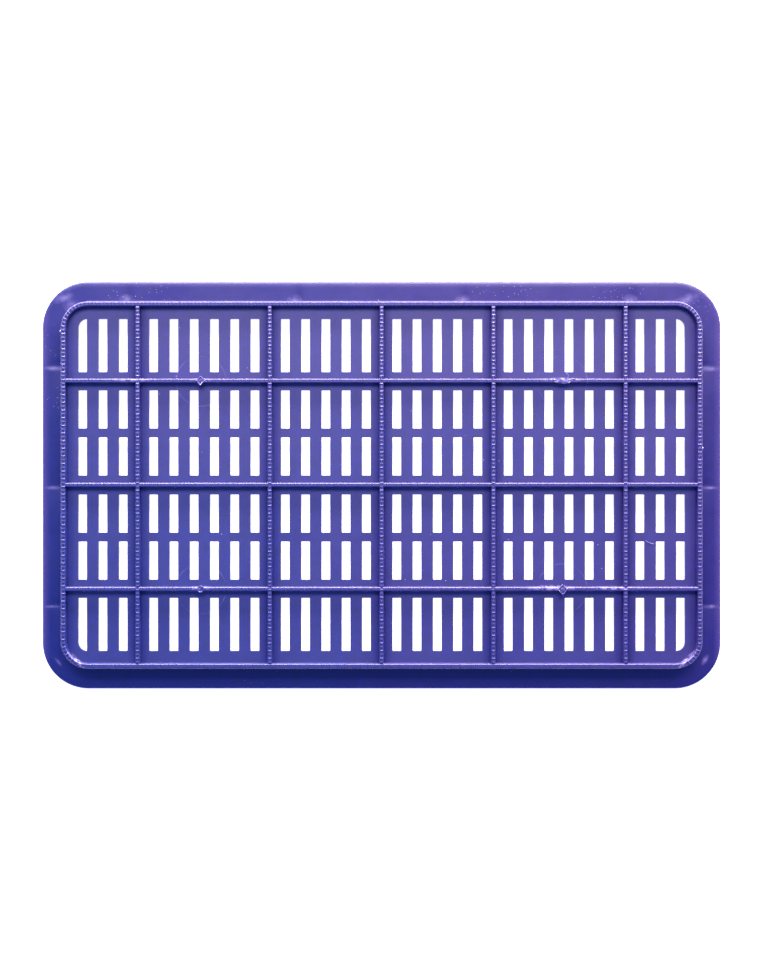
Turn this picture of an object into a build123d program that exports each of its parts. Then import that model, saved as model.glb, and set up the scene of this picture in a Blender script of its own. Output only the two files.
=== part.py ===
from build123d import *
import os
from math import radians, tan

# Queen excluder: a moulded grid of bee slots inside a raised rim, with a lipped flange all round.
# Frame: millimetres, +X along the length, +Y to the back, +Z up, which is the ribbed side.
# The origin is under the middle of the grid, on the surface that the lip stands on.
# The whole object is one moulding. Each feature of it is a solid of its own, and neighbours
# meet face to face.

# Plan of the moulding
LENGTH = 338.0
WIDTH = 203.0
OUTER_RADIUS = 23.0
FLANGE_MARGIN = 12.5  # outer edge to the rim's centreline
RIM_RADIUS = 12.0  # at the corners, on the rim's centreline

# Heights, from the surface that the lip stands on
WALL = 1.6  # thickness of the plate, the flange and the lip
FLANGE_TOP = 4.0
PLATE_TOP = 10.2
CREST = 13.0  # top of the rim and of every rib
EDGE_RADIUS = 1.2  # outer top edge of the flange

# Sections of the rim and the ribs
RIB_DRAFT = 6.0  # degrees, on the ribs and the rim's inner flank
RIM_DRAFT = 10.5  # degrees, on the rim's outer flank
RIM_CREST = 2.2
RIB_CREST = 2.0
RIM_FOOT = 2.4  # width of the rim's underside

# Slots: six rows across the width, in cells that the cross ribs part
SLOT_WIDTH = 4.4
SLOT_PITCH = 10.0
RIB_GAP = 15.0  # slot to slot across a rib
CELLS = (3, 6, 5, 5, 6, 3)  # slots in each cell of a row
LONG_SLOT = 26.2
SHORT_SLOT = 18.8
CENTRE_STRIP = 9.4
NARROW_STRIP = 4.4
RIB_STRIP = 9.0
CORNER_SLOT_RADIUS = 5.0  # outer corner of the four corner slots

# Gussets between the lip and the flange
GUSSET_WIDTH = 1.2
GUSSET_BOTTOM = 0.8
GUSSETS_LONG = (-125.3, -41.8, 41.8, 125.3)  # along a long side
GUSSETS_SHORT = (-59.4, 0.0, 59.4)  # along a short side

# Gate marks on the outer long ribs, where the plastic was fed in
GATE_X = 89.0
GATE_RADIUS = 2.2
GATE_HEIGHT = 0.7
SCAR_LENGTH = 9.0
SCAR_WIDTH = 2.6

# Worked out from the above
HALF_LENGTH = LENGTH / 2
HALF_WIDTH = WIDTH / 2
RIM_X = HALF_LENGTH - FLANGE_MARGIN
RIM_Y = HALF_WIDTH - FLANGE_MARGIN
RIB_FLARE = (CREST - PLATE_TOP) * tan(radians(RIB_DRAFT))
RIM_OUT = RIM_CREST / 2 + (CREST - FLANGE_TOP) * tan(radians(RIM_DRAFT))
RIM_IN = RIM_CREST / 2 + RIB_FLARE
RIB_HALF_BASE = RIB_CREST / 2 + RIB_FLARE
FLANGE_BOTTOM = FLANGE_TOP - WALL
PLATE_BOTTOM = PLATE_TOP - WALL
PLATE_X = RIM_X - RIM_IN
PLATE_Y = RIM_Y - RIM_IN
CORNER_X = RIM_X - RIM_RADIUS
CORNER_Y = RIM_Y - RIM_RADIUS

# Each side and corner is drawn once, at the back or the back right, and turned about Z
SIDES = {"back": 0, "left": 90, "front": 180, "right": 270}
CORNERS = {
    "back_right": (0, 1, 1),
    "back_left": (90, -1, 1),
    "front_left": (180, -1, -1),
    "front_right": (270, 1, -1),
}


def slot_centres():
    """X of every slot in a row, and X of every cross rib."""
    slots = []
    ribs = []
    steps = sum(CELLS) - len(CELLS)
    x = -(steps * SLOT_PITCH + (len(CELLS) - 1) * RIB_GAP) / 2
    for cell, count in enumerate(CELLS):
        for place in range(count):
            slots.append(x + place * SLOT_PITCH)
        x = slots[-1] + RIB_GAP
        if cell < len(CELLS) - 1:
            ribs.append(x - RIB_GAP / 2)
    return slots, ribs


def slot_rows():
    """Low and high Y of the three rows behind the centre, nearest first."""
    inner = (CENTRE_STRIP / 2, CENTRE_STRIP / 2 + SHORT_SLOT)
    middle = (inner[1] + NARROW_STRIP, inner[1] + NARROW_STRIP + SHORT_SLOT)
    outer = (middle[1] + RIB_STRIP, middle[1] + RIB_STRIP + LONG_SLOT)
    return inner, middle, outer


SLOTS, CROSS_RIBS = slot_centres()
INNER_ROW, MIDDLE_ROW, OUTER_ROW = slot_rows()
LONG_RIB_Y = (MIDDLE_ROW[1] + OUTER_ROW[0]) / 2


def patch(x_low, x_high, y_low, y_high):
    """A rectangle in plan, by its edges."""
    middle = Pos((x_low + x_high) / 2, (y_low + y_high) / 2)
    return middle * Rectangle(x_high - x_low, y_high - y_low)


def slab(shape, bottom, top):
    """A plan shape given its thickness."""
    return Pos(0, 0, bottom) * extrude(shape, top - bottom)


def section(points):
    """A section by its corners: first measure outward, second measure up."""
    return make_face(Polyline(*points, close=True))


def side_run(shape, reach, half_run, turn):
    """A section run straight along one side, reach from the middle."""
    start = Plane(origin=(-half_run, reach, 0), x_dir=(0, 1, 0), z_dir=(1, 0, 0))
    return Rot(0, 0, turn) * extrude(start * shape, 2 * half_run)


def corner_bend(shape, radius, centre_x, centre_y, turn):
    """A section swept a quarter turn round a corner."""
    bend = revolve(Plane.XZ * Pos(radius, 0) * shape, Axis.Z, 90)
    return Pos(centre_x, centre_y, 0) * Rot(0, 0, turn) * bend


def rim_section():
    return section(
        [
            (RIM_OUT, FLANGE_BOTTOM),
            (RIM_OUT, FLANGE_TOP),
            (RIM_CREST / 2, CREST),
            (-RIM_CREST / 2, CREST),
            (-RIM_IN, PLATE_TOP),
            (-RIM_IN, PLATE_BOTTOM),
            (RIM_OUT - RIM_FOOT, FLANGE_BOTTOM),
        ]
    )


def rib_section():
    return section(
        [
            (RIB_HALF_BASE, PLATE_TOP),
            (RIB_CREST / 2, CREST),
            (-RIB_CREST / 2, CREST),
            (-RIB_HALF_BASE, PLATE_TOP),
        ]
    )


def lip_section():
    """The lip and the flange's rounded outer edge, from the lip's outer face inward."""
    wall = Pos(-WALL / 2, FLANGE_TOP / 2) * Rectangle(WALL, FLANGE_TOP)
    outer_top = wall.vertices().group_by(Axis.Y)[-1].sort_by(Axis.X)[-1]
    return fillet(outer_top, EDGE_RADIUS)


def gusset_section():
    return section(
        [
            (RIM_OUT, GUSSET_BOTTOM),
            (FLANGE_MARGIN - WALL, GUSSET_BOTTOM),
            (FLANGE_MARGIN - WALL, FLANGE_BOTTOM),
            (RIM_OUT, FLANGE_BOTTOM),
        ]
    )


def is_long(side):
    return side in ("back", "front")


def rim_parts():
    parts = {}
    for side, turn in SIDES.items():
        reach, run = (RIM_Y, CORNER_X) if is_long(side) else (RIM_X, CORNER_Y)
        parts[f"rim_{side}"] = side_run(rim_section(), reach, run, turn)
    for corner, (turn, sign_x, sign_y) in CORNERS.items():
        parts[f"rim_corner_{corner}"] = corner_bend(
            rim_section(), RIM_RADIUS, sign_x * CORNER_X, sign_y * CORNER_Y, turn
        )
    return parts


def lip_parts():
    parts = {}
    run_x = HALF_LENGTH - OUTER_RADIUS
    run_y = HALF_WIDTH - OUTER_RADIUS
    for side, turn in SIDES.items():
        reach, run = (HALF_WIDTH, run_x) if is_long(side) else (HALF_LENGTH, run_y)
        parts[f"lip_{side}"] = side_run(lip_section(), reach, run, turn)
    for corner, (turn, sign_x, sign_y) in CORNERS.items():
        parts[f"lip_corner_{corner}"] = corner_bend(
            lip_section(), OUTER_RADIUS, sign_x * run_x, sign_y * run_y, turn
        )
    return parts


def flange_parts():
    """The level flange between the rim's foot and the lip."""
    parts = {}
    inside_lip = RectangleRounded(LENGTH - 2 * WALL, WIDTH - 2 * WALL, OUTER_RADIUS - WALL)
    rim_foot = RectangleRounded(
        2 * (RIM_X + RIM_OUT), 2 * (RIM_Y + RIM_OUT), RIM_RADIUS + RIM_OUT
    )
    ring = inside_lip - rim_foot
    for side, turn in SIDES.items():
        reach, run = (HALF_WIDTH, CORNER_X) if is_long(side) else (HALF_LENGTH, CORNER_Y)
        low = reach - FLANGE_MARGIN + RIM_OUT
        band = patch(-run, run, low, reach - WALL)
        parts[f"flange_{side}"] = Rot(0, 0, turn) * slab(band, FLANGE_BOTTOM, FLANGE_TOP)
    for corner, (_, sign_x, sign_y) in CORNERS.items():
        x_edges = sorted((sign_x * CORNER_X, sign_x * HALF_LENGTH))
        y_edges = sorted((sign_y * CORNER_Y, sign_y * HALF_WIDTH))
        piece = ring & patch(*x_edges, *y_edges)
        parts[f"flange_corner_{corner}"] = slab(piece, FLANGE_BOTTOM, FLANGE_TOP)
    return parts


def gusset_parts():
    parts = {}
    for side, turn in SIDES.items():
        reach, places = (RIM_Y, GUSSETS_LONG) if is_long(side) else (RIM_X, GUSSETS_SHORT)
        web = side_run(gusset_section(), reach, GUSSET_WIDTH / 2, 0)
        row = [Rot(0, 0, turn) * Pos(place, 0, 0) * web for place in places]
        parts[f"gussets_{side}"] = Compound(children=row)
    return parts


def plate_outline():
    """The plate fills the rim up to its inner foot."""
    return RectangleRounded(2 * PLATE_X, 2 * PLATE_Y, RIM_RADIUS - RIM_IN)


def plate_piece(x_low, x_high, y_low, y_high):
    piece = plate_outline() & patch(x_low, x_high, y_low, y_high)
    return slab(piece, PLATE_BOTTOM, PLATE_TOP)


def strip_parts():
    """The strips of plate that run the whole length between the rows of slots."""
    centre = (-INNER_ROW[0], INNER_ROW[0])
    parts = {"centre_strip": plate_piece(-PLATE_X, PLATE_X, *centre)}
    behind = {
        "narrow_strip": (INNER_ROW[1], MIDDLE_ROW[0]),
        "rib_strip": (MIDDLE_ROW[1], OUTER_ROW[0]),
        "edge_strip": (OUTER_ROW[1], PLATE_Y),
    }
    for name, (low, high) in behind.items():
        parts[f"{name}_back"] = plate_piece(-PLATE_X, PLATE_X, low, high)
        parts[f"{name}_front"] = plate_piece(-PLATE_X, PLATE_X, -high, -low)
    return parts


def bar_row(y_low, y_high):
    """The bars of one row: what is left of the plate between and beside its slots."""
    bars = []
    edge = -PLATE_X
    for x in SLOTS:
        bars.append(plate_piece(edge, x - SLOT_WIDTH / 2, y_low, y_high))
        edge = x + SLOT_WIDTH / 2
    bars.append(plate_piece(edge, PLATE_X, y_low, y_high))
    return Compound(children=bars)


def bar_parts():
    parts = {}
    rows = {"inner": INNER_ROW, "middle": MIDDLE_ROW, "outer": OUTER_ROW}
    for name, (low, high) in rows.items():
        parts[f"slot_bars_{name}_back"] = bar_row(low, high)
        parts[f"slot_bars_{name}_front"] = bar_row(-high, -low)
    return parts


def corner_webs():
    """The webs that round off the outer corner of the four corner slots."""
    slot_side = SLOTS[-1] + SLOT_WIDTH / 2
    slot_end = OUTER_ROW[1]
    round_x = slot_side - CORNER_SLOT_RADIUS
    round_y = slot_end - CORNER_SLOT_RADIUS
    corner = patch(slot_side - SLOT_WIDTH, slot_side, round_y, slot_end)
    web = slab(corner - Pos(round_x, round_y) * Circle(CORNER_SLOT_RADIUS), PLATE_BOTTOM, PLATE_TOP)
    across = mirror(web, Plane.YZ)
    pair = [web, across]
    return Compound(children=pair + [mirror(piece, Plane.XZ) for piece in pair])


def rib_parts(rim):
    """Three long ribs from rim to rim, and five cross ribs in stretches between them."""
    parts = {}
    long_run = side_run(rib_section(), 0, RIM_X, 0) - rim["rim_left"] - rim["rim_right"]
    for name, y in (("back", LONG_RIB_Y), ("centre", 0), ("front", -LONG_RIB_Y)):
        parts[f"long_rib_{name}"] = Pos(0, y, 0) * long_run
    cross_run = side_run(rib_section(), 0, RIM_Y, 90) - rim["rim_back"] - rim["rim_front"]
    for rib in list(parts.values()):
        cross_run -= rib
    names = ("far_left", "left", "middle", "right", "far_right")
    for name, x in zip(names, CROSS_RIBS):
        parts[f"cross_rib_{name}"] = Pos(x, 0, 0) * cross_run
    return parts


def gate_parts():
    """What is left of the four feed points, standing on the crests of the outer long ribs."""
    ring = Circle(GATE_RADIUS) - Circle(GATE_RADIUS / 2)
    lozenge = RegularPolygon(GATE_RADIUS, 4)
    plans = {
        "back_left": lozenge,
        "back_right": Ellipse(SCAR_LENGTH / 2, SCAR_WIDTH / 2),
        "front_left": ring,
        "front_right": lozenge,
    }
    parts = {}
    for corner, plan in plans.items():
        _, sign_x, sign_y = CORNERS[corner]
        place = Pos(sign_x * GATE_X, sign_y * LONG_RIB_Y, 0)
        parts[f"gate_mark_{corner}"] = place * slab(plan, CREST, CREST + GATE_HEIGHT)
    return parts


def all_parts():
    rim = rim_parts()
    parts = dict(rim)
    parts.update(lip_parts())
    parts.update(flange_parts())
    parts.update(gusset_parts())
    parts.update(strip_parts())
    parts.update(bar_parts())
    parts["corner_webs"] = corner_webs()
    parts.update(rib_parts(rim))
    parts.update(gate_parts())
    return parts


os.makedirs("parts", exist_ok=True)
for node, shape in all_parts().items():
    export_step(shape, f"parts/{node}.step")
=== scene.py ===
import math

import bmesh
import bpy
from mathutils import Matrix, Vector


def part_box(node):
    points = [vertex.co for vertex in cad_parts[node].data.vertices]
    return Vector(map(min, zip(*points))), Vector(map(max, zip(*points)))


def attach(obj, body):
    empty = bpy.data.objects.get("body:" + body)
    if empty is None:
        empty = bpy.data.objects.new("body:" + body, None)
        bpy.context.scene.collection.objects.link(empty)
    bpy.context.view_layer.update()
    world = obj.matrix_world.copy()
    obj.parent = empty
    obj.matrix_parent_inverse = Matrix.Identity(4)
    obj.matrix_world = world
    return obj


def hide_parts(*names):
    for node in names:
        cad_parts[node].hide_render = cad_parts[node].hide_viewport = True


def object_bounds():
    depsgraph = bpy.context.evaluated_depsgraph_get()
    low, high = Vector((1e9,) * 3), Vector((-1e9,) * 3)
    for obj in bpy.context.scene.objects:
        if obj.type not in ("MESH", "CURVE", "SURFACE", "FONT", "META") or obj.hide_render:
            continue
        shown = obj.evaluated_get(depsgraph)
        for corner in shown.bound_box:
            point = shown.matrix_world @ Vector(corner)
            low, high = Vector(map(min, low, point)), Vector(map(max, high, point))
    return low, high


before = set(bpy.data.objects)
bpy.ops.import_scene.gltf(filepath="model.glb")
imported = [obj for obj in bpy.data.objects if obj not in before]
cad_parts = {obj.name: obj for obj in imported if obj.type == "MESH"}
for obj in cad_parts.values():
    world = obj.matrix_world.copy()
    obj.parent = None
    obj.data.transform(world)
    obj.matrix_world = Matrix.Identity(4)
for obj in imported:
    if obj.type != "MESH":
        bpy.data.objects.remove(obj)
cad_low, cad_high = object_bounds()

# A queen excluder: one blue-violet polyethylene moulding. Metres, +Z up, ribs facing +Z.
MM = 0.001

# Heights and places of the moulding, from the frame
PLATE_LOW, PLATE_HIGH = (corner.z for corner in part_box("centre_strip"))
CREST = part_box("long_rib_centre")[1].z
FLANGE_LOW, FLANGE_TOP = (corner.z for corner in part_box("flange_back"))
LIP_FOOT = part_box("lip_back")[0].z
RIM_FOOT_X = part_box("rim_right")[1].x
RIM_FOOT_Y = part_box("rim_back")[1].y
CORNER_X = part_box("rim_back")[1].x
CORNER_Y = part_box("rim_right")[1].y
OUTER_X, OUTER_Y = cad_high.x, cad_high.y
OUTER_RADIUS = OUTER_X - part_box("lip_back")[1].x
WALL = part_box("lip_back")[1].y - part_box("lip_back")[0].y

# The rim and the ribs
RIM_CREST = 2.2 * MM
RIB_CREST = 2.0 * MM
RIM_FLARE = math.tan(math.radians(10.5))  # outer flank of the rim
RIB_FLARE = math.tan(math.radians(6.0))  # every other flank
RIM_X = RIM_FOOT_X - (CREST - FLANGE_TOP) * RIM_FLARE - RIM_CREST / 2
RIM_Y = RIM_FOOT_Y - (CREST - FLANGE_TOP) * RIM_FLARE - RIM_CREST / 2
RIM_RADIUS = RIM_X - CORNER_X
RIB_SUNK = 0.3 * MM  # how far a rib's foot reaches into the plate
RIM_WALL = 2.4 * MM
CROSS_NAMES = ("far_left", "left", "middle", "right", "far_right")
CROSS_RIBS = {name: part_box(f"cross_rib_{name}") for name in CROSS_NAMES}
LONG_RIBS = {name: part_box(f"long_rib_{name}") for name in ("back", "centre", "front")}
LONG_RIB_DROP = 0.02 * MM  # keeps the crests from lying in one plane where ribs cross

# Beads across the crests
PAIR_PITCH = 3.75 * MM  # a tall bead and a low one
BEADS = ((-PAIR_PITCH / 4, 0.15 * MM), (PAIR_PITCH / 4, 0.065 * MM))
BEAD_HALF = 0.13 * MM
BEAD_FOOT = 0.40 * MM
DISH_DEPTH = 0.05 * MM
CREST_ROUND = 0.50 * MM

# Slots
SLOT_WIDTH = 4.3 * MM
SLOT_PITCH = 10.0 * MM
SLOT_ROUND = 0.35 * MM
TILE_INSET = 1.0 * MM
CORNER_ROUND = 4.3 * MM
HALF_ROW = ((7.5 * MM, 5), (62.5 * MM, 6), (127.5 * MM, 3))  # first slot and count of each cell
EDGE_SOFT = 0.08 * MM

# Flange: its rounded edge, and the shallow valleys above the gussets
FLANGE_EDGE = 1.2 * MM
FLANGE_STOP = 1.0 * MM  # how far outside the rim's centreline it ends
FLANGE_RINGS = 5
SINK_STEPS = (-4.0 * MM, -2.0 * MM, -0.8 * MM, 0.0, 0.8 * MM, 2.0 * MM, 4.0 * MM)
SINK_DEPTH = 0.30 * MM
SINK_REACH = 4.0 * MM
GUSSET_GAP = 5  # millimetres, more than one gusset is thick

# Gate marks
GATE_SINK = 1.2 * MM  # how far a mark reaches down into its rib
GATE_RISE = 0.5 * MM
RING_WALL = 0.55 * MM
RING_SOFT = 0.16 * MM

# Hairs and nubs of flash, in millimetres: where each starts, and its steps or its seed
SCAR_HAIRS = {
    "scar_whisker_long": (2.2, 1.0, ((0.5, 0.7, 0.1), (0.1, 0.9, 0), (-0.5, 0.8, 0), (-0.6, 0.3, -0.1))),
    "scar_whisker_short": (4.2, 0.7, ((0.7, 0.3, 0), (0.8, 0.0, 0), (0.7, -0.3, -0.1))),
}
SLOT_HAIR = ((-0.9, 0.15, 0.05), (-0.9, 0.3, 0.1), (-0.9, 0.45, 0.05), (-0.8, 0.5, 0), (-0.6, 0.5, -0.05))
SLOT_HAIR_X = 134.2 * MM
NUBS = {"rim_nub_left": (-1, 75.7, 2), "rim_nub_right": (1, 18.2, 4)}  # side, Y, seed

# Colours of the plastic, of the marks on it, and of painted light and shade on it
# BLUE runs to VIOLET from front left to back right, a painted sheen across the body colour
BLUE = (0.0030, 0.0082, 0.080, 1)
VIOLET = (0.0095, 0.0055, 0.073, 1)
# painted light: the pale glow at the flange's two short outer edges
PAINTED_EDGE_LIGHT = (0.090, 0.065, 0.160, 1)
# pale marks, also used for painted highlights
PALE_MARKS_AND_HIGHLIGHTS = (0.32, 0.29, 0.45, 1)
SPECK = (0.45, 0.45, 0.55, 1)
# painted shade: how far the gloss is cut beside the cross ribs and rim sides
PAINTED_SHADE_REACH = 4.0 * MM
PAINTED_SHADE_CUT = 0.6  # share of the gloss taken off at a rib's foot, as painted shade
FLANGE_COAT = 0.15
GRID_COAT = 0.85
EDGE_LIGHT_REACH = 4.5 * MM
CIRCLE_RADIUS = 12.3 * MM  # faint circle round each gate
CIRCLE_HALF = 0.12 * MM

# Lights and camera
KEY_SPOT = (0.04, 0.76, 0.91 + PLATE_HIGH)
LOW_BACK_SPOT = (0.08, 2.0, 0.36 + PLATE_HIGH)
ROOM_BLUE = (0.14, 0.24, 1, 1)
CAMERA_UP = 0.68
CAMERA_ASIDE = 0.45 * MM
VIEW_HEIGHT = 0.4785  # what the camera takes in at the plate


# ---------------------------------------------------------------- hand tools

def only(piece):
    """Selects one piece and nothing else."""
    if bpy.context.mode != "OBJECT":
        bpy.ops.object.mode_set(mode="OBJECT")
    bpy.ops.object.select_all(action="DESELECT")
    piece.select_set(True)
    bpy.context.view_layer.objects.active = piece


def edit(piece):
    """Opens a piece in edit mode with nothing selected."""
    only(piece)
    bpy.ops.object.mode_set(mode="EDIT")
    bpy.ops.mesh.select_all(action="DESELECT")


def close(piece):
    """Leaves edit mode."""
    bpy.ops.object.mode_set(mode="OBJECT")
    return piece


def middle(part):
    """Middle of a vertex, an edge or a face."""
    if isinstance(part, bmesh.types.BMVert):
        return part.co.copy()
    if isinstance(part, bmesh.types.BMEdge):
        return (part.verts[0].co + part.verts[1].co) / 2
    return part.calc_center_median()


def pick(piece, kind, test):
    """Selects the VERT, EDGE or FACE parts that pass a test of their middle and themselves."""
    bpy.ops.mesh.select_mode(type=kind)
    bpy.ops.mesh.select_all(action="DESELECT")
    mesh = bmesh.from_edit_mesh(piece.data)
    parts = {"VERT": mesh.verts, "EDGE": mesh.edges, "FACE": mesh.faces}[kind]
    for part in parts:
        part.select_set(bool(test(middle(part), part)))
    mesh.select_flush_mode()
    bmesh.update_edit_mesh(piece.data)


def near(a, b, slack=1e-6):
    """True where two values are all but equal."""
    return abs(a - b) < slack


def cut(point, normal, **options):
    """Bisects what is selected."""
    bpy.ops.mesh.bisect(plane_co=point, plane_no=normal, **options)


def cut_all(point, normal, **options):
    """Bisects the whole piece in edit mode."""
    bpy.ops.mesh.select_all(action="SELECT")
    cut(point, normal, **options)


def settle():
    """Applies the active piece's place, turn and size to its mesh."""
    bpy.ops.object.transform_apply(location=True, rotation=True, scale=True)


def modify(piece, kind, **settings):
    """Adds a modifier and applies it."""
    only(piece)
    modifier = piece.modifiers.new(kind.title(), kind)
    for name, value in settings.items():
        setattr(modifier, name, value)
    bpy.ops.object.modifier_apply(modifier=modifier.name)


def repeat(piece, count, pitch, joined=False):
    """Repeats a piece along X, welding each copy to the next if they are to be joined."""
    modify(piece, "ARRAY", count=count, use_relative_offset=False, use_constant_offset=True,
           constant_offset_displace=(pitch, 0, 0), use_merge_vertices=joined, merge_threshold=0.01 * MM)


def copy_of(piece, name, shift=(0, 0, 0)):
    """A copy with its own mesh, moved."""
    twin = piece.copy()
    twin.data = piece.data.copy()
    twin.name = name
    bpy.context.scene.collection.objects.link(twin)
    place(twin, shift)
    return twin


def place(piece, shift):
    """Moves a piece and leaves its object at the origin."""
    only(piece)
    piece.location = Vector(shift)
    settle()


def join(pieces, name):
    """Makes several pieces one, under one name."""
    only(pieces[0])
    for piece in pieces:
        piece.select_set(True)
    bpy.ops.object.join()
    joined = bpy.context.view_layer.objects.active
    joined.name = name
    joined.data.name = name
    return joined


def merge(piece, distance=0.01 * MM):
    """Merges doubled points and turns the faces outwards."""
    edit(piece)
    bpy.ops.mesh.select_all(action="SELECT")
    bpy.ops.mesh.remove_doubles(threshold=distance)
    bpy.ops.mesh.normals_make_consistent(inside=False)
    close(piece)


def smooth(piece, degrees=30):
    """Shades a piece smooth except at edges sharper than an angle."""
    only(piece)
    bpy.ops.object.shade_smooth_by_angle(angle=math.radians(degrees))


def plane(name, low, high, z):
    """A flat rectangle between two corners."""
    bpy.ops.object.select_all(action="DESELECT")
    spot = ((low[0] + high[0]) / 2, (low[1] + high[1]) / 2, z)
    bpy.ops.mesh.primitive_plane_add(size=1, location=spot)
    piece = bpy.context.active_object
    piece.name = name
    piece.scale = (high[0] - low[0], high[1] - low[1], 1)
    settle()
    return piece


def block(name, low, high):
    """A box between two corners."""
    bpy.ops.object.select_all(action="DESELECT")
    spot = (Vector(low) + Vector(high)) / 2
    bpy.ops.mesh.primitive_cube_add(size=1, location=spot)
    piece = bpy.context.active_object
    piece.name = name
    piece.scale = Vector(high) - Vector(low)
    settle()
    return piece


# ---------------------------------------------------------------- the plate

def slot_rows():
    """For each row behind the middle: its tile's low and high Y, and its slot's low and high Y."""
    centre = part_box("centre_strip")[1].y
    narrow_low, narrow_high = (corner.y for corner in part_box("narrow_strip_back"))
    rib_low, rib_high = (corner.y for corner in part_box("rib_strip_back"))
    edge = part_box("edge_strip_back")[0].y
    first_join = (narrow_low + narrow_high) / 2
    second_join = (rib_low + rib_high) / 2
    return (
        (0, first_join, centre, narrow_low),
        (first_join, second_join, narrow_high, rib_low),
        (second_join, RIM_Y, rib_high, edge),
    )


def slot_tile(name, row, big_corner=False):
    """One pitch of a row: a flat tile about X = 0 with its round-cornered slot cut out."""
    tile_low, tile_high, slot_low, slot_high = row
    half = SLOT_PITCH / 2
    tile = plane(name, (-half, tile_low), (half, tile_high), PLATE_HIGH)
    edit(tile)
    pick(tile, "FACE", lambda at, part: True)
    bpy.ops.mesh.inset(thickness=TILE_INSET, depth=0)

    def inner(at):
        return abs(at.x) < half - TILE_INSET / 2

    for sign in (-1, 1):
        pick(tile, "VERT", lambda at, part: inner(at) and at.x * sign > 0)
        bpy.ops.transform.translate(value=(sign * (SLOT_WIDTH / 2 - half + TILE_INSET), 0, 0))
    half_way = (tile_low + tile_high) / 2
    pick(tile, "VERT", lambda at, part: inner(at) and at.y < half_way)
    bpy.ops.transform.translate(value=(0, slot_low - tile_low - TILE_INSET, 0))
    pick(tile, "VERT", lambda at, part: inner(at) and at.y > half_way)
    bpy.ops.transform.translate(value=(0, slot_high - tile_high + TILE_INSET, 0))

    pick(tile, "VERT", lambda at, part: inner(at) and not (big_corner and at.y > half_way))
    bpy.ops.mesh.bevel(offset=SLOT_ROUND, segments=3, affect="VERTICES")
    if big_corner:
        pick(tile, "VERT", lambda at, part: near(at.x, SLOT_WIDTH / 2) and near(at.y, slot_high))
        bpy.ops.mesh.bevel(offset=CORNER_ROUND, segments=10, affect="VERTICES")
    slot_area = SLOT_WIDTH * (slot_high - slot_low)
    pick(tile, "FACE", lambda at, part: near(at.x, 0, 0.5 * MM) and part.calc_area() > 0.8 * slot_area)
    bpy.ops.mesh.delete(type="FACE")
    return close(tile)


def slotted_plate():
    """The whole plate: a quarter laid out from tiles, mirrored both ways, then given its thickness."""
    parts = []
    for number, row in enumerate(slot_rows()):
        tile = slot_tile(f"tile_{number}", row)
        outer_row = number == 2
        for start, count in HALF_ROW:
            last_cell = start == HALF_ROW[-1][0]
            kept = count - 1 if outer_row and last_cell else count
            run = copy_of(tile, "run", (start, 0, 0))
            repeat(run, kept, SLOT_PITCH)
            parts.append(run)
            if kept < count:
                corner = slot_tile("corner_tile", row, big_corner=True)
                place(corner, (start + kept * SLOT_PITCH, 0, 0))
                parts.append(corner)
        bpy.data.objects.remove(tile)
        edges = [0]
        for start, count in HALF_ROW:
            edges += [start - SLOT_PITCH / 2, start + (count - 0.5) * SLOT_PITCH]
        edges.append(RIM_X)
        for low, high in zip(edges[::2], edges[1::2]):
            parts.append(plane("filler", (low, row[0]), (high, row[1]), PLATE_HIGH))
    plate = join(parts, "slotted_plate")
    merge(plate)
    modify(plate, "MIRROR", use_axis=(True, True, False), merge_threshold=0.01 * MM)
    edit(plate)
    for sign_x in (-1, 1):
        for sign_y in (-1, 1):
            for degrees in (15, 45, 75):
                angle = math.radians(degrees)
                away = Vector((sign_x * math.cos(angle), sign_y * math.sin(angle), 0))
                hub = Vector((sign_x * CORNER_X, sign_y * CORNER_Y, 0))
                cut_all(hub + away * RIM_RADIUS, away, clear_outer=True)
    close(plate)
    merge(plate)
    edit(plate)
    pick(plate, "FACE", lambda at, part: part.normal.z < 0)
    bpy.ops.mesh.flip_normals()
    close(plate)
    modify(plate, "SOLIDIFY", thickness=PLATE_HIGH - PLATE_LOW, offset=-1)
    modify(plate, "BEVEL", width=EDGE_SOFT, segments=2, limit_method="ANGLE",
           angle_limit=math.radians(60))
    smooth(plate, 12)
    return plate


# ---------------------------------------------------------------- ribs and rim

def crest_details(unit, crest_width, top):
    """Rounds a crest's edges, dishes it along its length and raises its beads across it."""
    half = crest_width / 2
    pick(unit, "EDGE", lambda at, part: near(at.z, top) and near(abs(at.y), half))
    bpy.ops.mesh.bevel(offset=CREST_ROUND, segments=3, affect="EDGES")
    flat = half - CREST_ROUND
    for y in (-0.5 * flat, 0.5 * flat):
        pick(unit, "FACE", lambda at, part: part.normal.z > 0.99 and near(at.z, top))
        cut((0, y, top), (0, 1, 0))
    pick(unit, "VERT", lambda at, part: near(at.z, top) and abs(at.y) < 0.6 * flat)
    bpy.ops.transform.translate(value=(0, 0, -DISH_DEPTH))
    for spot, height in BEADS:
        for x in (-BEAD_FOOT, -BEAD_HALF, BEAD_HALF, BEAD_FOOT):
            cut_all((spot + x, 0, 0), (1, 0, 0))
        raise_bead(unit, spot, top - 1.1 * DISH_DEPTH, top - 0.9 * DISH_DEPTH, height + DISH_DEPTH)
        raise_bead(unit, spot, top - 1e-6, top + 1e-6, height)
        raise_bead(unit, spot, top - 0.6 * CREST_ROUND, top - 1.2 * DISH_DEPTH, height)


def raise_bead(unit, spot, low, high, height):
    """Lifts the corners at one bead that lie between two heights."""
    pick(unit, "VERT", lambda at, part: abs(at.x - spot) < 1.1 * BEAD_HALF and low < at.z < high)
    bpy.ops.transform.translate(value=(0, 0, height))


def open_ends(unit, pitch):
    """Takes off the two end faces, so that copies run on from each other."""
    pick(unit, "FACE", lambda at, part: near(abs(at.x), pitch / 2) and abs(part.normal.x) > 0.99)
    bpy.ops.mesh.delete(type="FACE")


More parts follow.
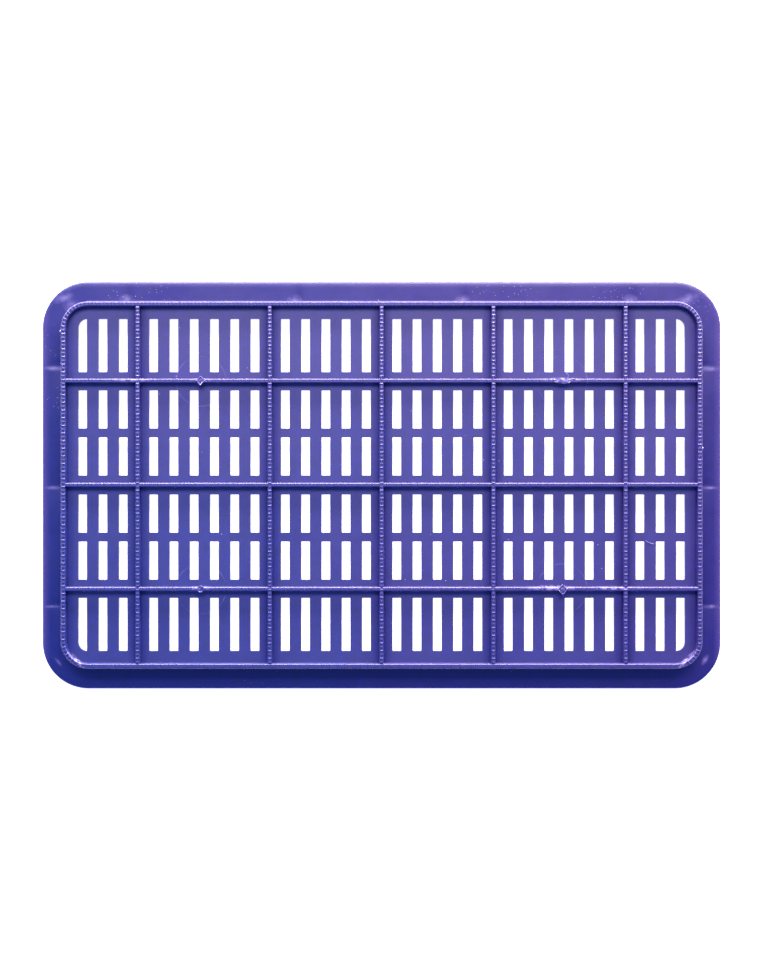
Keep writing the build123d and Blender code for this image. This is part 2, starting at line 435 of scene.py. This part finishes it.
def rib_unit():
    """One pair of beads' length of a rib, with its foot in the plate."""
    foot = PLATE_HIGH - RIB_SUNK
    half = RIB_CREST / 2
    unit = block("rib_unit", (-PAIR_PITCH / 2, -half, foot), (PAIR_PITCH / 2, half, CREST))
    edit(unit)
    base = half + (CREST - foot) * RIB_FLARE
    pick(unit, "VERT", lambda at, part: near(at.z, foot))
    bpy.ops.transform.resize(value=(1, base / half, 1))
    crest_details(unit, RIB_CREST, CREST)
    open_ends(unit, PAIR_PITCH)
    return close(unit)


def rib(name, unit, length, middle_x, middle_y, along_x, drop):
    """A whole rib: the unit repeated, its ends closed."""
    count = round(length / PAIR_PITCH)
    piece = copy_of(unit, name, (-(count - 1) / 2 * PAIR_PITCH, 0, drop))
    repeat(piece, count, PAIR_PITCH, joined=True)
    edit(piece)
    bpy.ops.mesh.select_all(action="SELECT")
    bpy.ops.mesh.fill_holes(sides=0)
    if not along_x:
        bpy.ops.mesh.select_all(action="SELECT")
        bpy.ops.transform.rotate(value=math.radians(90), orient_axis="Z", center_override=(0, 0, 0))
    close(piece)
    place(piece, (middle_x, middle_y, 0))
    merge(piece)
    smooth(piece)
    return piece


def rim_unit(pitch):
    """One pair of beads' length of the rim. +Y is outward from the rim's centreline."""
    half = RIM_CREST / 2
    outer_foot = half + (CREST - FLANGE_TOP) * RIM_FLARE
    foot = FLANGE_LOW - 0.1 * MM
    unit = block("rim_unit", (-pitch / 2, -half, foot), (pitch / 2, half, CREST))
    edit(unit)
    for z in (FLANGE_TOP, PLATE_LOW, PLATE_HIGH):
        cut_all((0, 0, z), (0, 0, 1))
    inner_foot = half + (CREST - PLATE_HIGH) * RIB_FLARE

    def shift(z, side, amount):
        pick(unit, "VERT", lambda at, part: near(at.z, z) and at.y * side > 0)
        bpy.ops.transform.translate(value=(0, amount, 0))

    outer_slope = (outer_foot - half) / (CREST - FLANGE_TOP)
    shift(foot, 1, outer_foot - half)
    shift(FLANGE_TOP, 1, outer_foot - half)
    shift(PLATE_LOW, 1, (CREST - PLATE_LOW) * outer_slope)
    shift(PLATE_HIGH, 1, (CREST - PLATE_HIGH) * outer_slope)
    shift(PLATE_HIGH, -1, half - inner_foot)
    shift(PLATE_LOW, -1, half - inner_foot)
    full = outer_foot - RIM_WALL + half
    drop = PLATE_LOW - foot
    shift(foot, -1, full)
    shift(FLANGE_TOP, -1, half - inner_foot + (full - half + inner_foot) * (PLATE_LOW - FLANGE_TOP) / drop)
    crest_details(unit, RIM_CREST, CREST)
    open_ends(unit, pitch)
    bpy.ops.mesh.select_all(action="SELECT")
    bpy.ops.transform.rotate(value=math.pi, orient_axis="Z", center_override=(0, 0, 0))
    return close(unit)


def rim_path():
    """The rim's centreline, a closed rounded rectangle."""
    path = plane("rim_path", (-RIM_X, -RIM_Y), (RIM_X, RIM_Y), 0)
    edit(path)
    pick(path, "VERT", lambda at, part: True)
    bpy.ops.mesh.bevel(offset=RIM_RADIUS, segments=32, affect="VERTICES")
    pick(path, "FACE", lambda at, part: True)
    bpy.ops.mesh.delete(type="ONLY_FACE")
    close(path)
    length = sum((path.data.vertices[e.vertices[0]].co - path.data.vertices[e.vertices[1]].co).length
                 for e in path.data.edges)
    only(path)
    bpy.ops.object.convert(target="CURVE")
    path = bpy.context.active_object
    path.data.twist_mode = "Z_UP"
    return path, length


def rim():
    """The whole rim, laid round its centreline."""
    path, length = rim_path()
    count = round(length / PAIR_PITCH)
    pitch = length / count
    piece = rim_unit(pitch)
    piece.name = "rim"
    place(piece, (pitch / 2, 0, 0))
    repeat(piece, count, pitch, joined=True)
    modify(piece, "CURVE", object=path, deform_axis="POS_X")
    bpy.data.objects.remove(path)
    merge(piece, 0.03 * MM)
    smooth(piece)
    return piece


# ---------------------------------------------------------------- flange

def sink_places():
    """Where the gussets below have drawn the flange in, for each side."""
    return {side: gusset_middles(f"gussets_{side}") for side in ("back", "front", "left", "right")}


def gusset_middles(node):
    """Middles of the separate gussets in one node."""
    points = [vertex.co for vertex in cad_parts[node].data.vertices]
    along = 0 if node.endswith(("back", "front")) else 1
    groups = []
    for spot in sorted({round(point[along] / MM) for point in points}):
        if not groups or spot - groups[-1][-1] > GUSSET_GAP:
            groups.append([spot])
        else:
            groups[-1].append(spot)
    return [(group[0] + group[-1]) / 2 * MM for group in groups]


def sink(piece, along, gusset, side):
    """Draws the flange's top in along a shallow valley, deepest beside the rim."""
    across = 1 - along
    rim_foot = (RIM_FOOT_X, RIM_FOOT_Y)[across]
    outer = (OUTER_X, OUTER_Y)[across] - FLANGE_EDGE
    for depth, spot in ((SINK_DEPTH, rim_foot), (0.5 * SINK_DEPTH, (rim_foot + outer) / 2)):
        pick(piece, "VERT", lambda at, part: at.z > FLANGE_TOP - 1.5 * SINK_DEPTH
             and near(at[along], gusset, 0.1 * MM) and near(at[across] * side, spot, 2.2 * MM))
        bpy.ops.transform.translate(value=(0, 0, -depth), use_proportional_edit=True,
                                    proportional_edit_falloff="SMOOTH", proportional_size=SINK_REACH)


def flange():
    """The flange with its lip: a rounded slab, hollowed from below, open in the middle."""
    piece = plane("flange", (-OUTER_X, -OUTER_Y), (OUTER_X, OUTER_Y), LIP_FOOT)
    edit(piece)
    pick(piece, "VERT", lambda at, part: True)
    bpy.ops.mesh.bevel(offset=OUTER_RADIUS, segments=24, affect="VERTICES")
    pick(piece, "FACE", lambda at, part: True)
    bpy.ops.mesh.extrude_region_move(TRANSFORM_OT_translate={"value": (0, 0, FLANGE_TOP - LIP_FOOT)})
    bpy.ops.mesh.select_all(action="SELECT")
    bpy.ops.mesh.normals_make_consistent(inside=False)
    pick(piece, "EDGE", lambda at, part: near(at.z, FLANGE_TOP))
    bpy.ops.mesh.bevel(offset=FLANGE_EDGE, segments=4, affect="EDGES")
    inner = OUTER_X - RIM_X - FLANGE_STOP
    pick(piece, "FACE", lambda at, part: near(at.z, FLANGE_TOP))
    for ring in range(FLANGE_RINGS):
        bpy.ops.mesh.inset(thickness=(inner - FLANGE_EDGE) / FLANGE_RINGS, depth=0)
    bpy.ops.mesh.delete(type="FACE")
    pick(piece, "FACE", lambda at, part: near(at.z, LIP_FOOT))
    bpy.ops.mesh.inset(thickness=WALL, depth=0)
    bpy.ops.mesh.extrude_region_move(TRANSFORM_OT_translate={"value": (0, 0, FLANGE_LOW - LIP_FOOT)})
    bpy.ops.mesh.inset(thickness=inner - WALL, depth=0)
    bpy.ops.mesh.delete(type="FACE")
    pick(piece, "EDGE", lambda at, part: part.is_boundary)
    bpy.ops.mesh.bridge_edge_loops()
    for side, places in sink_places().items():
        along = 0 if side in ("back", "front") else 1
        for gusset in places:
            for step in SINK_STEPS:
                spot = [0, 0, 0]
                spot[along] = gusset + step
                normal = [0, 0, 0]
                normal[along] = 1
                pick(piece, "FACE", lambda at, part: near(at.z, FLANGE_TOP) and part.normal.z > 0.9
                     and abs(at[1 - along]) > (CORNER_X, CORNER_Y)[1 - along])
                cut(spot, normal)
    for side, places in sink_places().items():
        along = 0 if side in ("back", "front") else 1
        for gusset in places:
            sink(piece, along, gusset, 1 if side in ("back", "right") else -1)
    close(piece)
    merge(piece)
    smooth(piece)
    return piece


# ---------------------------------------------------------------- gate marks

def gate_spot(corner):
    """Middle of a gate mark on its rib's crest, from the frame."""
    low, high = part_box(f"gate_mark_{corner}")
    return Vector(((low.x + high.x) / 2, (low.y + high.y) / 2, CREST))


def ragged(piece, amount, seed):
    """Breaks up the upper outline, as where a runner was snapped off."""
    top = CREST - 0.3 * MM
    pick(piece, "VERT", lambda at, part: at.z > top)
    bpy.ops.transform.vertex_random(offset=amount, seed=seed)
    pick(piece, "VERT", lambda at, part: at.z > CREST + GATE_RISE)
    bpy.ops.transform.resize(value=(1, 1, 0.2))


def gate_ring(name, corner, sides, radius, tail=0.0, wobble=0.0, seed=0):
    """A raised ring round a broken-off runner, drawn out to a point at the front if it has a tail."""
    spot = gate_spot(corner)
    bpy.ops.object.select_all(action="DESELECT")
    depth = GATE_SINK + GATE_RISE
    bpy.ops.mesh.primitive_cylinder_add(vertices=sides, radius=radius, depth=depth,
                                        location=spot + Vector((0, 0, GATE_RISE - depth / 2)))
    piece = bpy.context.active_object
    piece.name = name
    settle()
    edit(piece)
    if tail:
        pick(piece, "VERT", lambda at, part: at.y < spot.y - 0.9 * radius)
        bpy.ops.transform.translate(value=(0, -tail, 0))
    top = spot.z + GATE_RISE
    pick(piece, "FACE", lambda at, part: near(at.z, top))
    bpy.ops.mesh.inset(thickness=RING_WALL, depth=0)
    bpy.ops.mesh.extrude_region_move(TRANSFORM_OT_translate={"value": (0, 0, -0.8 * GATE_RISE)})
    bpy.ops.transform.resize(value=(0.8, 0.8, 1), center_override=spot)
    pick(piece, "EDGE", lambda at, part: near(at.z, top))
    bpy.ops.mesh.bevel(offset=RING_SOFT, segments=2, affect="EDGES")
    if wobble:
        ragged(piece, wobble, seed)
    close(piece)
    merge(piece)
    smooth(piece, 40)
    return piece


def gate_scar():
    """A torn runner scar lying along its rib."""
    spot = gate_spot("back_right")
    low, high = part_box("gate_mark_back_right")
    half_long = (high.x - low.x) / 2
    half_wide = (high.y - low.y) / 2
    piece = block("torn_scar", (low.x, spot.y - half_wide, CREST - GATE_SINK),
                  (high.x, spot.y + half_wide, CREST + 0.6 * GATE_RISE))
    edit(piece)
    for step in range(-6, 7):
        cut_all((spot.x + step / 7 * half_long, 0, 0), (1, 0, 0))
    for y in (-0.4, 0.1, 0.5):
        cut_all((0, spot.y + y * half_wide, 0), (0, 1, 0))
    pick(piece, "VERT", lambda at, part: abs(at.x - spot.x) > 0.8 * half_long)
    bpy.ops.transform.resize(value=(1, 0.35, 1), center_override=spot)
    pick(piece, "VERT", lambda at, part: 0.5 * half_long < abs(at.x - spot.x) < 0.8 * half_long)
    bpy.ops.transform.resize(value=(1, 0.7, 1), center_override=spot)
    ragged(piece, 0.34 * MM, 5)
    close(piece)
    merge(piece)
    smooth(piece, 25)
    return piece


def whisker(name, start, steps, radius):
    """A hair of flash: a small six-sided disc drawn out step by step, thinner each time."""
    bpy.ops.object.select_all(action="DESELECT")
    bpy.ops.mesh.primitive_circle_add(vertices=6, radius=radius, fill_type="NGON", location=start)
    piece = bpy.context.active_object
    piece.name = name
    settle()
    edit(piece)
    bpy.ops.mesh.select_all(action="SELECT")
    bpy.ops.transform.rotate(value=math.radians(90), orient_axis="Y", center_override=start)
    at_now = Vector(start)
    for step in steps:
        at_now += Vector(step)
        bpy.ops.mesh.extrude_region_move(TRANSFORM_OT_translate={"value": step})
        bpy.ops.transform.resize(value=(1, 0.82, 0.82), center_override=at_now)
    close(piece)
    merge(piece, 0.002 * MM)
    smooth(piece, 60)
    return piece


def nub(name, spot, size, seed):
    """A speck of flash left standing on the rim's outer flank."""
    bpy.ops.object.select_all(action="DESELECT")
    bpy.ops.mesh.primitive_uv_sphere_add(segments=12, ring_count=8, radius=size, location=spot)
    piece = bpy.context.active_object
    piece.name = name
    settle()
    edit(piece)
    bpy.ops.mesh.select_all(action="SELECT")
    bpy.ops.transform.resize(value=(1, 1.3, 0.7), center_override=spot)
    bpy.ops.transform.vertex_random(offset=0.15 * size, seed=seed)
    close(piece)
    merge(piece)
    smooth(piece, 60)
    return piece


# ---------------------------------------------------------------- material

class Shading:
    """Small helper that strings shader nodes together for one material."""

    def __init__(self, name):
        self.material = bpy.data.materials.new(name)
        self.material.use_nodes = True
        self.nodes = self.material.node_tree.nodes
        self.links = self.material.node_tree.links
        self.shader = self.nodes["Principled BSDF"]
        self.place = self.nodes.new("ShaderNodeTexCoord").outputs["Object"]

    def add(self, kind, **settings):
        """A new node with its settings."""
        made = self.nodes.new(kind)
        for name, value in settings.items():
            setattr(made, name, value)
        return made

    def join(self, source, target):
        self.links.new(source, target)

    def mapped(self, stretch, turn):
        """Places on the object, turned about Z and stretched."""
        mapping = self.add("ShaderNodeMapping")
        mapping.inputs["Scale"].default_value = stretch
        mapping.inputs["Rotation"].default_value = (0, 0, turn)
        self.join(self.place, mapping.inputs["Vector"])
        return mapping.outputs["Vector"]

    def noise(self, scale, detail, stretch=(1, 1, 1), turn=0.0):
        """A cloudy value from 0 to 1."""
        texture = self.add("ShaderNodeTexNoise")
        texture.inputs["Scale"].default_value = scale
        texture.inputs["Detail"].default_value = detail
        self.join(self.mapped(stretch, turn), texture.inputs["Vector"])
        return texture.outputs["Fac"]

    def ramp(self, source, low, high, dark, light):
        """Runs from one colour to the other as a value goes from low to high."""
        made = self.add("ShaderNodeValToRGB")
        first, last = made.color_ramp.elements
        first.position, first.color = low, dark
        last.position, last.color = high, light
        self.join(source, made.inputs["Fac"])
        return made.outputs["Color"]

    def math(self, operation, first, second=None):
        """A sum on values, either of which may be a number or a socket."""
        made = self.add("ShaderNodeMath", operation=operation)
        for socket, value in zip(made.inputs, (first, second)):
            if isinstance(value, (int, float)):
                socket.default_value = value
            elif value is not None:
                self.join(value, socket)
        return made.outputs["Value"]

    def times(self, *values):
        """Several values multiplied together."""
        total = values[0]
        for value in values[1:]:
            total = self.math("MULTIPLY", total, value)
        return total

    def strongest(self, values):
        """The largest of several values."""
        total = values[0]
        for value in values[1:]:
            total = self.math("MAXIMUM", total, value)
        return total

    def along(self, axis):
        """The X, Y or Z of a place on the object."""
        apart = self.add("ShaderNodeSeparateXYZ")
        self.join(self.place, apart.inputs["Vector"])
        return apart.outputs[axis]

    def mix(self, amount, under, over, blend_type="MIX"):
        """Lays one colour over another. All three may be given values or sockets."""
        made = self.add("ShaderNodeMix", data_type="RGBA", blend_type=blend_type)
        for socket, value in zip((made.inputs["Factor"], made.inputs["A"], made.inputs["B"]),
                                 (amount, under, over)):
            if isinstance(value, (int, float, tuple)):
                socket.default_value = value
            else:
                self.join(value, socket)
        return made.outputs["Result"]


def grey(value):
    """A grey as a colour."""
    return (value, value, value, 1)


def mask_of(shading, source, low, high):
    """0 where a value is under low, 1 where it is over high, and a run between."""
    return shading.ramp(source, low, high, grey(0), grey(1))


def above(shading, height):
    """1 on surfaces higher than a height, 0 below it, so that marks on top don't show underneath."""
    return shading.math("GREATER_THAN", shading.along("Z"), height)


def blots(shading, places):
    """Soft oval patches, the strongest wins. Each is (x, y, half length, half width, turn) in mm."""
    patches = []
    for x, y, long, wide, turn in places:
        mapping = shading.add("ShaderNodeMapping", vector_type="TEXTURE")
        mapping.inputs["Location"].default_value = (x * MM, y * MM, FLANGE_TOP)
        mapping.inputs["Scale"].default_value = (long * MM, wide * MM, 1)
        mapping.inputs["Rotation"].default_value = (0, 0, math.radians(turn))
        shading.join(shading.place, mapping.inputs["Vector"])
        reach = shading.add("ShaderNodeVectorMath", operation="LENGTH")
        shading.join(mapping.outputs["Vector"], reach.inputs[0])
        patches.append(shading.math("MAXIMUM", shading.math("SUBTRACT", 1.0, reach.outputs["Value"]), 0.0))
    return shading.strongest(patches)


def specks(shading, size, rarity, patch):
    """Pale specks: the middles of a few small cells, only inside a patch."""
    cells = shading.add("ShaderNodeTexVoronoi")
    cells.inputs["Scale"].default_value = size
    shading.join(shading.mapped((1, 1, 1), 0.3), cells.inputs["Vector"])
    dot = shading.math("LESS_THAN", cells.outputs["Distance"], 0.13)
    few = shading.math("GREATER_THAN", cells.outputs["Color"], rarity)
    return shading.times(dot, few, patch)


def sparse_specks(shading):
    """A few pale specks all over, in loose patches."""
    patch = shading.math("GREATER_THAN", shading.noise(28, 2), 0.52)
    return shading.times(specks(shading, 560, 0.9, patch), 0.5)


def dust(shading):
    """Fine dust in the places where it has gathered on the flange."""
    places = ((-128, 96.5, 14, 6, 0), (-108, 96, 10, 5, 0), (118, 96, 16, 6, 0), (161, 88, 8, 8, 0),
              (-163, 40, 6, 12, 0), (60, 97, 22, 4, 0), (-60, -96, 16, 5, 0), (-163, 72, 6, 10, 0))
    near_place = shading.math("GREATER_THAN", blots(shading, places), 0.12)
    return shading.times(specks(shading, 850, 0.55, near_place), 0.55)


def smears_and_sink_highlights(shading):
    """Pale patches on the flange at the corners, and painted highlights on the shallow valleys above the
    gussets.
    """
    places = [(-152, 87, 9, 4.5, -38), (-158, 93, 6, 2.5, 20), (-164, 58.0, 5.5, 1.6, 0),
              (164, 58.0, 5.5, 1.6, 0), (-164, -60.5, 4.5, 1.0, 0), (164, -60.5, 4.5, 1.2, 0),
              (-164, -1.4, 4.5, 1.2, 0), (164, -1.4, 4.5, 1.0, 0), (150, 91, 10, 3.5, 25),
              (161, -87, 3.5, 1.6, 60), (-161, -88, 3, 1.0, -50)]
    places += [(x - 1.5, 91.5, 4.5, 4.0, 0) for x in (-125.3, -41.8, 41.8, 125.3)]
    uneven = mask_of(shading, shading.noise(260, 3), 0.25, 0.75)
    on_top = above(shading, (FLANGE_LOW + FLANGE_TOP) / 2)
    return shading.times(blots(shading, places), on_top, uneven, 0.5)


def scratches(shading):
    """Long fine hairlines in three directions."""
    drawn_out = (1, 0.035, 1)
    lines = [mask_of(shading, shading.noise(scale, 1.5, drawn_out, turn), 0.735, 0.765)
             for turn, scale in ((0.5, 46), (-0.8, 39), (1.35, 52))]
    return shading.strongest(lines)


def gate_streaks_and_corner_highlights(shading):
    """Pale stretches on the rib crests beside the gates, and painted highlights on the rim at its front
    corners.
    """
    x, y = (gate_spot("back_right") / MM).xy
    places = ((x, y + 0.6, 11, 1.5, 0), (x - 5, -y + 0.6, 15, 1.5, 0), (x + 26, -y + 0.5, 14, 1.1, 0),
              (-x, y + 0.5, 6, 1.2, 0), (-x, -y + 0.5, 6, 1.2, 0), (-x - 34, y + 0.5, 14, 0.9, 0),
              (149.6, -86.6, 8, 1.0, 45), (-149.6, -86.6, 8, 1.0, -45))
    uneven = mask_of(shading, shading.noise(520, 3), 0.4, 0.6)
    on_top = above(shading, (PLATE_LOW + PLATE_HIGH) / 2)
    return shading.times(blots(shading, places), on_top, uneven, 0.7)


def gate_circles(shading):
    """A faint, worn circle round every gate."""
    gate = gate_spot("back_right")
    across = shading.math("SUBTRACT", shading.math("ABSOLUTE", shading.along("X")), gate.x)
    along = shading.math("SUBTRACT", shading.math("ABSOLUTE", shading.along("Y")), gate.y)
    squares = shading.math("ADD", shading.math("POWER", across, 2), shading.math("POWER", along, 2))
    off = shading.math("ABSOLUTE", shading.math("SUBTRACT", shading.math("SQRT", squares), CIRCLE_RADIUS))
    line = shading.math("LESS_THAN", off, CIRCLE_HALF)
    worn = mask_of(shading, shading.noise(130, 2), 0.45, 0.62)
    return shading.times(line, worn)


def painted_edge_light(shading):
    """Painted light: whitening that grows over the last few millimetres to the flange's two short outer
    edges.
    """
    away = shading.math("SUBTRACT", shading.math("ABSOLUTE", shading.along("X")), OUTER_X - EDGE_LIGHT_REACH)
    nearness = shading.math("MAXIMUM", shading.math("DIVIDE", away, EDGE_LIGHT_REACH), 0.0)
    return shading.times(shading.math("POWER", nearness, 1.5), 0.5)


def painted_shade_beside_cross_ribs(shading):
    """Painted shade: where the plate's gloss is cut along the cross ribs and rim sides, 1 at a foot, 0 a
    little way off.
    """
    x = shading.along("X")
    parts = []
    rim_half = RIM_CREST / 2 + (CREST - PLATE_HIGH) * RIB_FLARE
    feet = [((low.x + high.x) / 2, (high.x - low.x) / 2) for low, high in CROSS_RIBS.values()]
    feet += [(-RIM_X, rim_half), (RIM_X, rim_half)]
    for spot, half in feet:
        off = shading.math("ABSOLUTE", shading.math("SUBTRACT", x, spot))
        clear = shading.math("SUBTRACT", off, half)
        parts.append(shading.math("SUBTRACT", 1.0, shading.math("DIVIDE", clear, PAINTED_SHADE_REACH)))
    below_ribs = shading.math("LESS_THAN", shading.along("Z"), PLATE_HIGH + 0.2 * MM)
    on_plate = shading.times(below_ribs, above(shading, (PLATE_LOW + PLATE_HIGH) / 2))
    return shading.times(shading.math("MAXIMUM", shading.strongest(parts), 0.0), on_plate)


def mottled_with_painted_sheen(shading):
    """The body colour, mottled, with painted sheen across it: bluer at the front left, more violet at the
    back right.
    """
    across = shading.times(shading.along("X"), 2.2)
    along = shading.times(shading.along("Y"), 1.8)
    tone = shading.math("ADD", shading.math("ADD", across, along), shading.noise(9, 2))
    return shading.ramp(tone, 0.15, 0.85, BLUE, VIOLET)


def polyethylene(name, smoothest, roughest, flange_dust_and_painted_light=False, whitened=0.0):
    """Blue-violet moulded polyethylene: satin, mottled, scratched and dusted with pale specks, with painted
    sheen, highlights and shade on it.
    """
    shading = Shading(name)
    shader = shading.shader
    body = mottled_with_painted_sheen(shading)
    fine = shading.ramp(shading.noise(240, 4), 0.3, 0.7, grey(0.86), grey(1.14))
    body = shading.mix(1.0, body, fine, "MULTIPLY")
    if flange_dust_and_painted_light:
        # painted light at the flange's short outer edges
        body = shading.mix(painted_edge_light(shading), body, PAINTED_EDGE_LIGHT)
        # pale patches, with painted highlights over the gussets
        body = shading.mix(smears_and_sink_highlights(shading), body, PALE_MARKS_AND_HIGHLIGHTS)
        body = shading.mix(dust(shading), body, SPECK)
    else:
        body = shading.mix(shading.times(gate_circles(shading), 0.2), body, PALE_MARKS_AND_HIGHLIGHTS)
        # pale stretches beside the gates, and painted highlights at the rim's front corners
        body = shading.mix(gate_streaks_and_corner_highlights(shading), body, PALE_MARKS_AND_HIGHLIGHTS)
    body = shading.mix(shading.times(scratches(shading), 0.2), body, PALE_MARKS_AND_HIGHLIGHTS)
    body = shading.mix(sparse_specks(shading), body, SPECK)
    if whitened:
        body = shading.mix(whitened, body, PALE_MARKS_AND_HIGHLIGHTS)
    shading.join(body, shader.inputs["Base Color"])
    rough = shading.ramp(shading.noise(70, 4), 0.3, 0.7, grey(smoothest), grey(roughest))
    shading.join(rough, shader.inputs["Roughness"])
    bump = shading.add("ShaderNodeBump")
    bump.inputs["Strength"].default_value = 0.10
    bump.inputs["Distance"].default_value = 0.15 * MM
    grain = shading.math("SUBTRACT", shading.noise(1100, 3), scratches(shading))
    shading.join(grain, bump.inputs["Height"])
    shading.join(bump.outputs["Normal"], shader.inputs["Normal"])
    shader.inputs["IOR"].default_value = 1.51
    shader.inputs["Coat Weight"].default_value = FLANGE_COAT
    if not flange_dust_and_painted_light:
        # painted shade: less gloss and coat along the feet of the cross ribs and rim sides
        kept = shading.math("SUBTRACT", 1.0, shading.times(painted_shade_beside_cross_ribs(shading), PAINTED_SHADE_CUT))
        shading.join(shading.times(kept, 0.5), shader.inputs["Specular IOR Level"])
        shading.join(shading.times(kept, GRID_COAT), shader.inputs["Coat Weight"])
    shader.inputs["Coat Roughness"].default_value = 0.25
    shader.inputs["Subsurface Weight"].default_value = 0.2
    shader.inputs["Subsurface Radius"].default_value = (0.3, 0.5, 1.0)
    shader.inputs["Subsurface Scale"].default_value = 3.0 * MM
    return shading.material


# ---------------------------------------------------------------- studio

def table():
    """A plain white table that the lip stands on, bright enough to stay white."""
    bpy.ops.object.select_all(action="DESELECT")
    bpy.ops.mesh.primitive_plane_add(size=6, location=(0, 0, LIP_FOOT))
    floor = bpy.context.active_object
    floor.name = "floor"
    white = bpy.data.materials.new("white_table")
    white.use_nodes = True
    shader = white.node_tree.nodes["Principled BSDF"]
    shader.inputs["Base Color"].default_value = (0.9, 0.9, 0.9, 1)
    shader.inputs["Roughness"].default_value = 0.8
    shader.inputs["Emission Color"].default_value = (1, 1, 1, 1)
    shader.inputs["Emission Strength"].default_value = 0.96
    floor.data.materials.append(white)


def area_lamp(name, spot, wide, high, energy, colour):
    """A rectangular lamp that faces the middle of the plate."""
    light = bpy.data.lights.new(name, "AREA")
    light.shape = "RECTANGLE"
    light.size = wide
    light.size_y = high
    light.energy = energy
    light.color = colour
    lamp = bpy.data.objects.new(name, light)
    bpy.context.scene.collection.objects.link(lamp)
    lamp.location = spot
    aim = Vector((0, 0, PLATE_HIGH)) - lamp.location
    lamp.rotation_mode = "QUATERNION"
    lamp.rotation_quaternion = aim.to_track_quat("-Z", "Y")


def room():
    """An even blue fill from all round, which the camera itself sees as white."""
    world = bpy.data.worlds.new("room")
    bpy.context.scene.world = world
    world.use_nodes = True
    tree = world.node_tree
    fill = tree.nodes["Background"]
    fill.inputs["Color"].default_value = ROOM_BLUE
    fill.inputs["Strength"].default_value = 1.2
    seen = tree.nodes.new("ShaderNodeBackground")
    seen.inputs["Color"].default_value = (1, 1, 1, 1)
    path = tree.nodes.new("ShaderNodeLightPath")
    mix = tree.nodes.new("ShaderNodeMixShader")
    tree.links.new(path.outputs["Is Camera Ray"], mix.inputs["Fac"])
    tree.links.new(fill.outputs["Background"], mix.inputs[1])
    tree.links.new(seen.outputs["Background"], mix.inputs[2])
    tree.links.new(mix.outputs["Shader"], tree.nodes["World Output"].inputs["Surface"])


def camera_above():
    """A camera straight above, a hair to the right of the middle."""
    sight = bpy.data.cameras.new("camera")
    sight.lens = sight.sensor_width * CAMERA_UP / VIEW_HEIGHT
    sight.clip_start = 0.01
    sight.clip_end = 20
    camera = bpy.data.objects.new("camera", sight)
    bpy.context.scene.collection.objects.link(camera)
    camera.location = (CAMERA_ASIDE, 0, PLATE_HIGH + CAMERA_UP)
    bpy.context.scene.camera = camera
    bpy.context.scene.view_settings.view_transform = "Standard"


def studio():
    """A white table, a soft key light behind, a long low light far behind, a blue fill and a camera."""
    table()
    area_lamp("key", KEY_SPOT, 1.2, 0.45, 36, (1, 0.82, 0.98))
    area_lamp("low_back", LOW_BACK_SPOT, 9.0, 0.36, 680, (1, 0.84, 0.98))
    room()
    camera_above()


# ---------------------------------------------------------------- assembly

grid_plastic = polyethylene("polyethylene_grid", 0.52, 0.62)
flange_plastic = polyethylene("polyethylene_flange", 0.34, 0.40, flange_dust_and_painted_light=True)
flash_plastic = polyethylene("polyethylene_flash", 0.34, 0.45, whitened=0.6)


def fit(piece, plastic, *nodes):
    """Gives a piece its finish and its body, and hides the nodes that it stands for."""
    piece.data.materials.clear()
    piece.data.materials.append(plastic)
    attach(piece, "root")
    if nodes:
        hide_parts(*nodes)


def nodes_like(*starts):
    """The CAD nodes whose names start in one of these ways."""
    return [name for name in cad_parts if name.startswith(starts)]


def fit_ribs():
    """The long ribs and the cross ribs, all repeated from one short length."""
    unit = rib_unit()
    span = 2 * (RIM_X - RIM_CREST / 2)
    for name, (low, high) in LONG_RIBS.items():
        piece = rib(f"beaded_long_rib_{name}", unit, span, 0, (low.y + high.y) / 2, True, -LONG_RIB_DROP)
        fit(piece, grid_plastic, f"long_rib_{name}")
    span = 2 * (RIM_Y - RIM_CREST / 2)
    for name, (low, high) in CROSS_RIBS.items():
        piece = rib(f"beaded_cross_rib_{name}", unit, span, (low.x + high.x) / 2, 0, False, 0)
        fit(piece, grid_plastic, f"cross_rib_{name}")
    bpy.data.objects.remove(unit)


def fit_gates():
    """The four gate marks, each broken off in its own way."""
    fit(gate_ring("gate_diamond_back_left", "back_left", 4, 2.5 * MM, 0.3 * MM, 0.08 * MM, 3),
        grid_plastic, "gate_mark_back_left")
    fit(gate_ring("gate_ring_front_left", "front_left", 20, 1.8 * MM),
        grid_plastic, "gate_mark_front_left")
    fit(gate_ring("gate_diamond_front_right", "front_right", 4, 2.6 * MM, 0.8 * MM, 0.2 * MM, 8),
        grid_plastic, "gate_mark_front_right")
    fit(gate_scar(), grid_plastic, "gate_mark_back_right")


def fit_flash():
    """The loose hairs and nubs of flash."""
    for name, (x, y, steps) in SCAR_HAIRS.items():
        start = gate_spot("back_right") + Vector((x, y, 0.1)) * MM
        fit(whisker(name, start, [Vector(step) * MM for step in steps], 0.26 * MM), flash_plastic)
    start = (SLOT_HAIR_X, -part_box("narrow_strip_back")[1].y - 1.2 * MM, PLATE_HIGH)
    fit(whisker("slot_whisker", start, [Vector(step) * MM for step in SLOT_HAIR], 0.22 * MM), flash_plastic)
    for name, (side, y, seed) in NUBS.items():
        spot = (side * (RIM_X + RIM_CREST / 2 + 0.1 * MM), y * MM, CREST - 0.5 * MM)
        fit(nub(name, spot, 0.5 * MM, seed), flash_plastic)


def finish_nodes():
    """The CAD nodes that stay in sight get the grid's plastic."""
    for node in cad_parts.values():
        if node.hide_render:
            continue
        if not node.material_slots:
            node.data.materials.append(grid_plastic)
        for held in node.material_slots:
            held.material = grid_plastic


fit(slotted_plate(), grid_plastic,
    *nodes_like("centre_strip", "narrow_strip", "rib_strip", "edge_strip", "slot_bars", "corner_webs"))
fit(rim(), grid_plastic, *nodes_like("rim_"))
fit(flange(), flange_plastic, *nodes_like("flange_", "lip_"))
fit_ribs()
fit_gates()
fit_flash()
finish_nodes()

studio()
